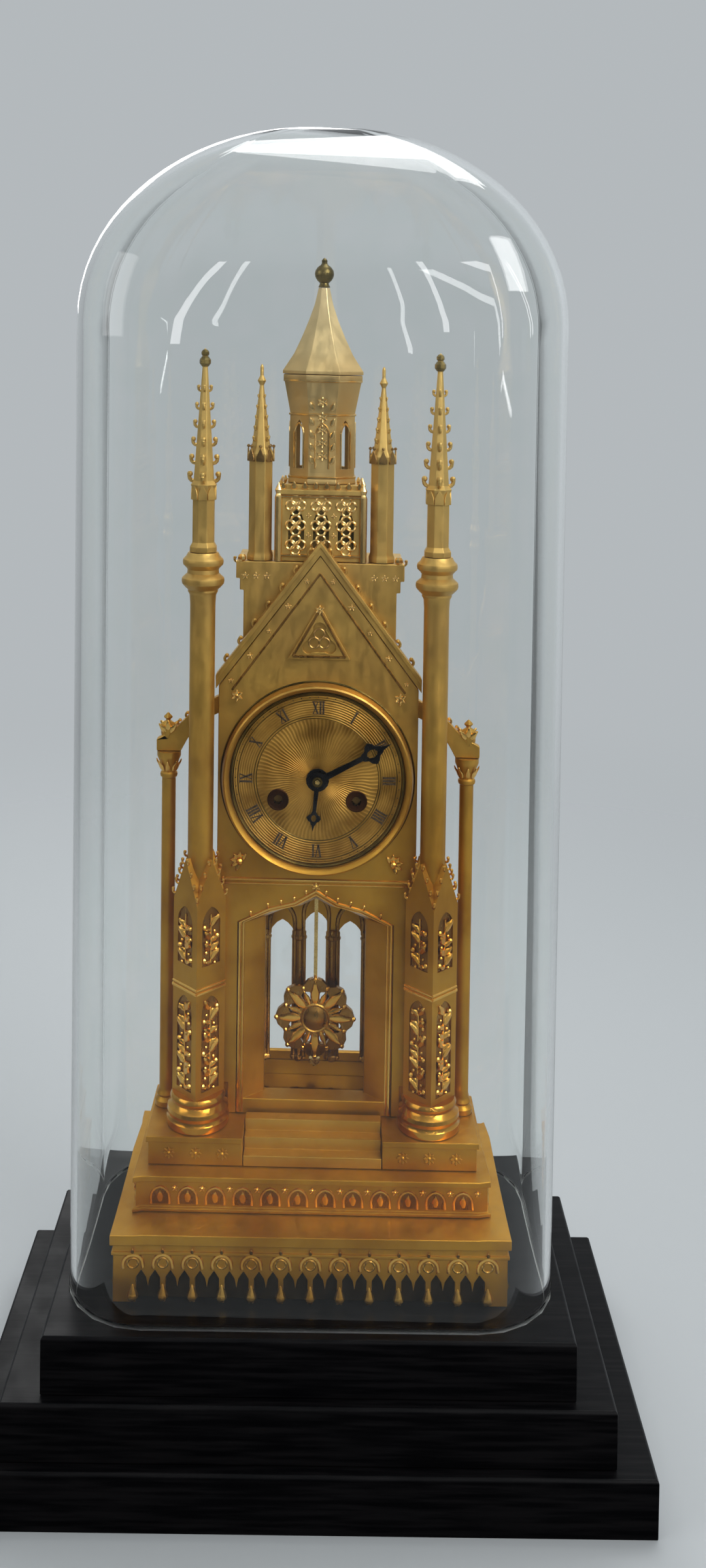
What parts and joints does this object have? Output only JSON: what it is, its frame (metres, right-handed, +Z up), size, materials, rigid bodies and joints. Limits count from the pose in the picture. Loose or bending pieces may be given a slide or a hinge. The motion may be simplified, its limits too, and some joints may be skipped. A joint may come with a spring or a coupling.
{
  "type": "pendulum mantel clock under a glass dome",
  "caption": "Gilt Gothic church-front mantel clock with a striking pendulum movement, under a lift-off glass dome on a black stepped base.",
  "frame": {"origin": "centre of the footprint of the black base, on the surface it stands on", "axes": "+Z up, the dial and doorway face -Y, +X to the viewer's right"},
  "size_m": [0.326, 0.187, 0.662],
  "materials": {
    "ebonised_wood": "black stained wood with a satin polish",
    "dome_glass": "clear blown glass",
    "gilt_bronze": "cast and chased bronze, fire gilt, bright on edges and matte in hollows",
    "matte_gilt": "matte gilt dial with engine turning",
    "movement_brass": "polished brass",
    "arbor_steel": "bright steel",
    "blued_steel": "dark blued steel"
  },
  "bodies": {
    "case": {"base_bottom_step": "ebonised_wood", "base_middle_step": "ebonised_wood", "base_top_step": "ebonised_wood", "plinth_lower_tier": "gilt_bronze", "plinth_upper_tier": "gilt_bronze", "pedestal_course": "gilt_bronze", "entrance_steps": "gilt_bronze", "pier_left": "gilt_bronze", "pier_right": "gilt_bronze", "column_left": "gilt_bronze", "column_right": "gilt_bronze", "pinnacle_left": "gilt_bronze", "pinnacle_right": "gilt_bronze", "colonnette_left": "gilt_bronze", "colonnette_right": "gilt_bronze", "flying_buttress_left": "gilt_bronze", "flying_buttress_right": "gilt_bronze", "facade": "gilt_bronze", "doorway_portal": "gilt_bronze", "gable_coping": "gilt_bronze", "gable_trefoil": "gilt_bronze", "case_side_left": "gilt_bronze", "case_side_right": "gilt_bronze", "case_back": "gilt_bronze", "rear_tracery": "gilt_bronze", "tower_base": "gilt_bronze", "turret_left": "gilt_bronze", "turret_right": "gilt_bronze", "tower_gallery": "gilt_bronze", "belfry": "gilt_bronze", "spire": "gilt_bronze", "spire_finial": "gilt_bronze", "dial": "matte_gilt", "bezel": "gilt_bronze", "movement_front_plate": "movement_brass", "movement_back_plate": "movement_brass", "suspension_bracket": "movement_brass", "bell": "movement_brass", "bell_post": "arbor_steel"},
    "dome": {"glass_dome": "dome_glass"},
    "minute_train": {"centre_wheel": "movement_brass", "cannon_pinion": "movement_brass", "minute_hand": "blued_steel", "hand_collet": "movement_brass"},
    "hour_train": {"hour_wheel": "movement_brass", "hour_hand": "blued_steel"},
    "minute_wheel": {"minute_wheel": "movement_brass"},
    "intermediate_wheel": {"intermediate_wheel": "movement_brass"},
    "going_barrel": {"going_barrel": "movement_brass"},
    "third_wheel": {"third_wheel": "movement_brass"},
    "escape_wheel": {"escape_wheel": "movement_brass"},
    "strike_barrel": {"strike_barrel": "movement_brass"},
    "count_wheel": {"count_wheel": "movement_brass"},
    "pendulum": {"suspension_spring": "arbor_steel", "pendulum_rod": "movement_brass", "pendulum_bob": "gilt_bronze", "rating_nut": "movement_brass"},
    "anchor": {"anchor_crutch": "arbor_steel"},
    "hammer": {"strike_hammer": "arbor_steel"}
  },
  "joints": [
    {"name": "dome_lift", "type": "slide", "parent": "case", "child": "dome", "axis": [0, 0, 1], "range_m": [0, 0.55]},
    {"name": "minute_turn", "type": "hinge", "parent": "case", "child": "minute_train", "pos_m": [0, 0, 0.328], "axis": [0, 1, 0], "continuous": true},
    {"name": "hour_turn", "type": "hinge", "parent": "case", "child": "hour_train", "pos_m": [0, 0, 0.328], "axis": [0, 1, 0], "continuous": true},
    {"name": "minute_wheel_turn", "type": "hinge", "parent": "case", "child": "minute_wheel", "pos_m": [0.00553, 0, 0.33976], "axis": [0, 1, 0], "continuous": true},
    {"name": "intermediate_turn", "type": "hinge", "parent": "case", "child": "intermediate_wheel", "pos_m": [0.01701, 0, 0.3362], "axis": [0, 1, 0], "continuous": true},
    {"name": "going_barrel_turn", "type": "hinge", "parent": "case", "child": "going_barrel", "pos_m": [0.0204, 0, 0.317], "axis": [0, 1, 0], "continuous": true},
    {"name": "third_wheel_turn", "type": "hinge", "parent": "case", "child": "third_wheel", "pos_m": [-0.0115, 0, 0.3395], "axis": [0, 1, 0], "continuous": true},
    {"name": "escape_wheel_turn", "type": "hinge", "parent": "case", "child": "escape_wheel", "pos_m": [0, 0, 0.351], "axis": [0, 1, 0], "continuous": true},
    {"name": "strike_barrel_turn", "type": "hinge", "parent": "case", "child": "strike_barrel", "pos_m": [-0.0204, 0, 0.317], "axis": [0, 1, 0], "continuous": true},
    {"name": "count_wheel_turn", "type": "hinge", "parent": "case", "child": "count_wheel", "pos_m": [-0.01065, 0, 0.30011], "axis": [0, 1, 0], "continuous": true},
    {"name": "pendulum_swing", "type": "hinge", "parent": "case", "child": "pendulum", "pos_m": [0, 0.033, 0.3646], "axis": [0, 1, 0], "range_deg": [-4, 4]},
    {"name": "anchor_rock", "type": "hinge", "parent": "case", "child": "anchor", "pos_m": [0, 0, 0.3626], "axis": [0, 1, 0], "range_deg": [-4.5, 4.5]},
    {"name": "hammer_lift", "type": "hinge", "parent": "case", "child": "hammer", "pos_m": [0.027, 0.033, 0.303], "axis": [0, 1, 0], "range_deg": [0, 10], "stiffness_Nm_per_rad": 0.002, "springref_deg": -11.46}
  ],
  "couplings": [
    {"joint": "hour_turn", "follows": "minute_turn", "ratio": 0.083333},
    {"joint": "minute_wheel_turn", "follows": "minute_turn", "ratio": -0.33333},
    {"joint": "intermediate_turn", "follows": "minute_turn", "ratio": -0.16667},
    {"joint": "going_barrel_turn", "follows": "minute_turn", "ratio": 0.041667},
    {"joint": "third_wheel_turn", "follows": "minute_turn", "ratio": -6},
    {"joint": "escape_wheel_turn", "follows": "minute_turn", "ratio": 36},
    {"joint": "count_wheel_turn", "follows": "strike_barrel_turn", "ratio": -4},
    {"joint": "anchor_rock", "follows": "pendulum_swing", "ratio": 1}
  ]
}
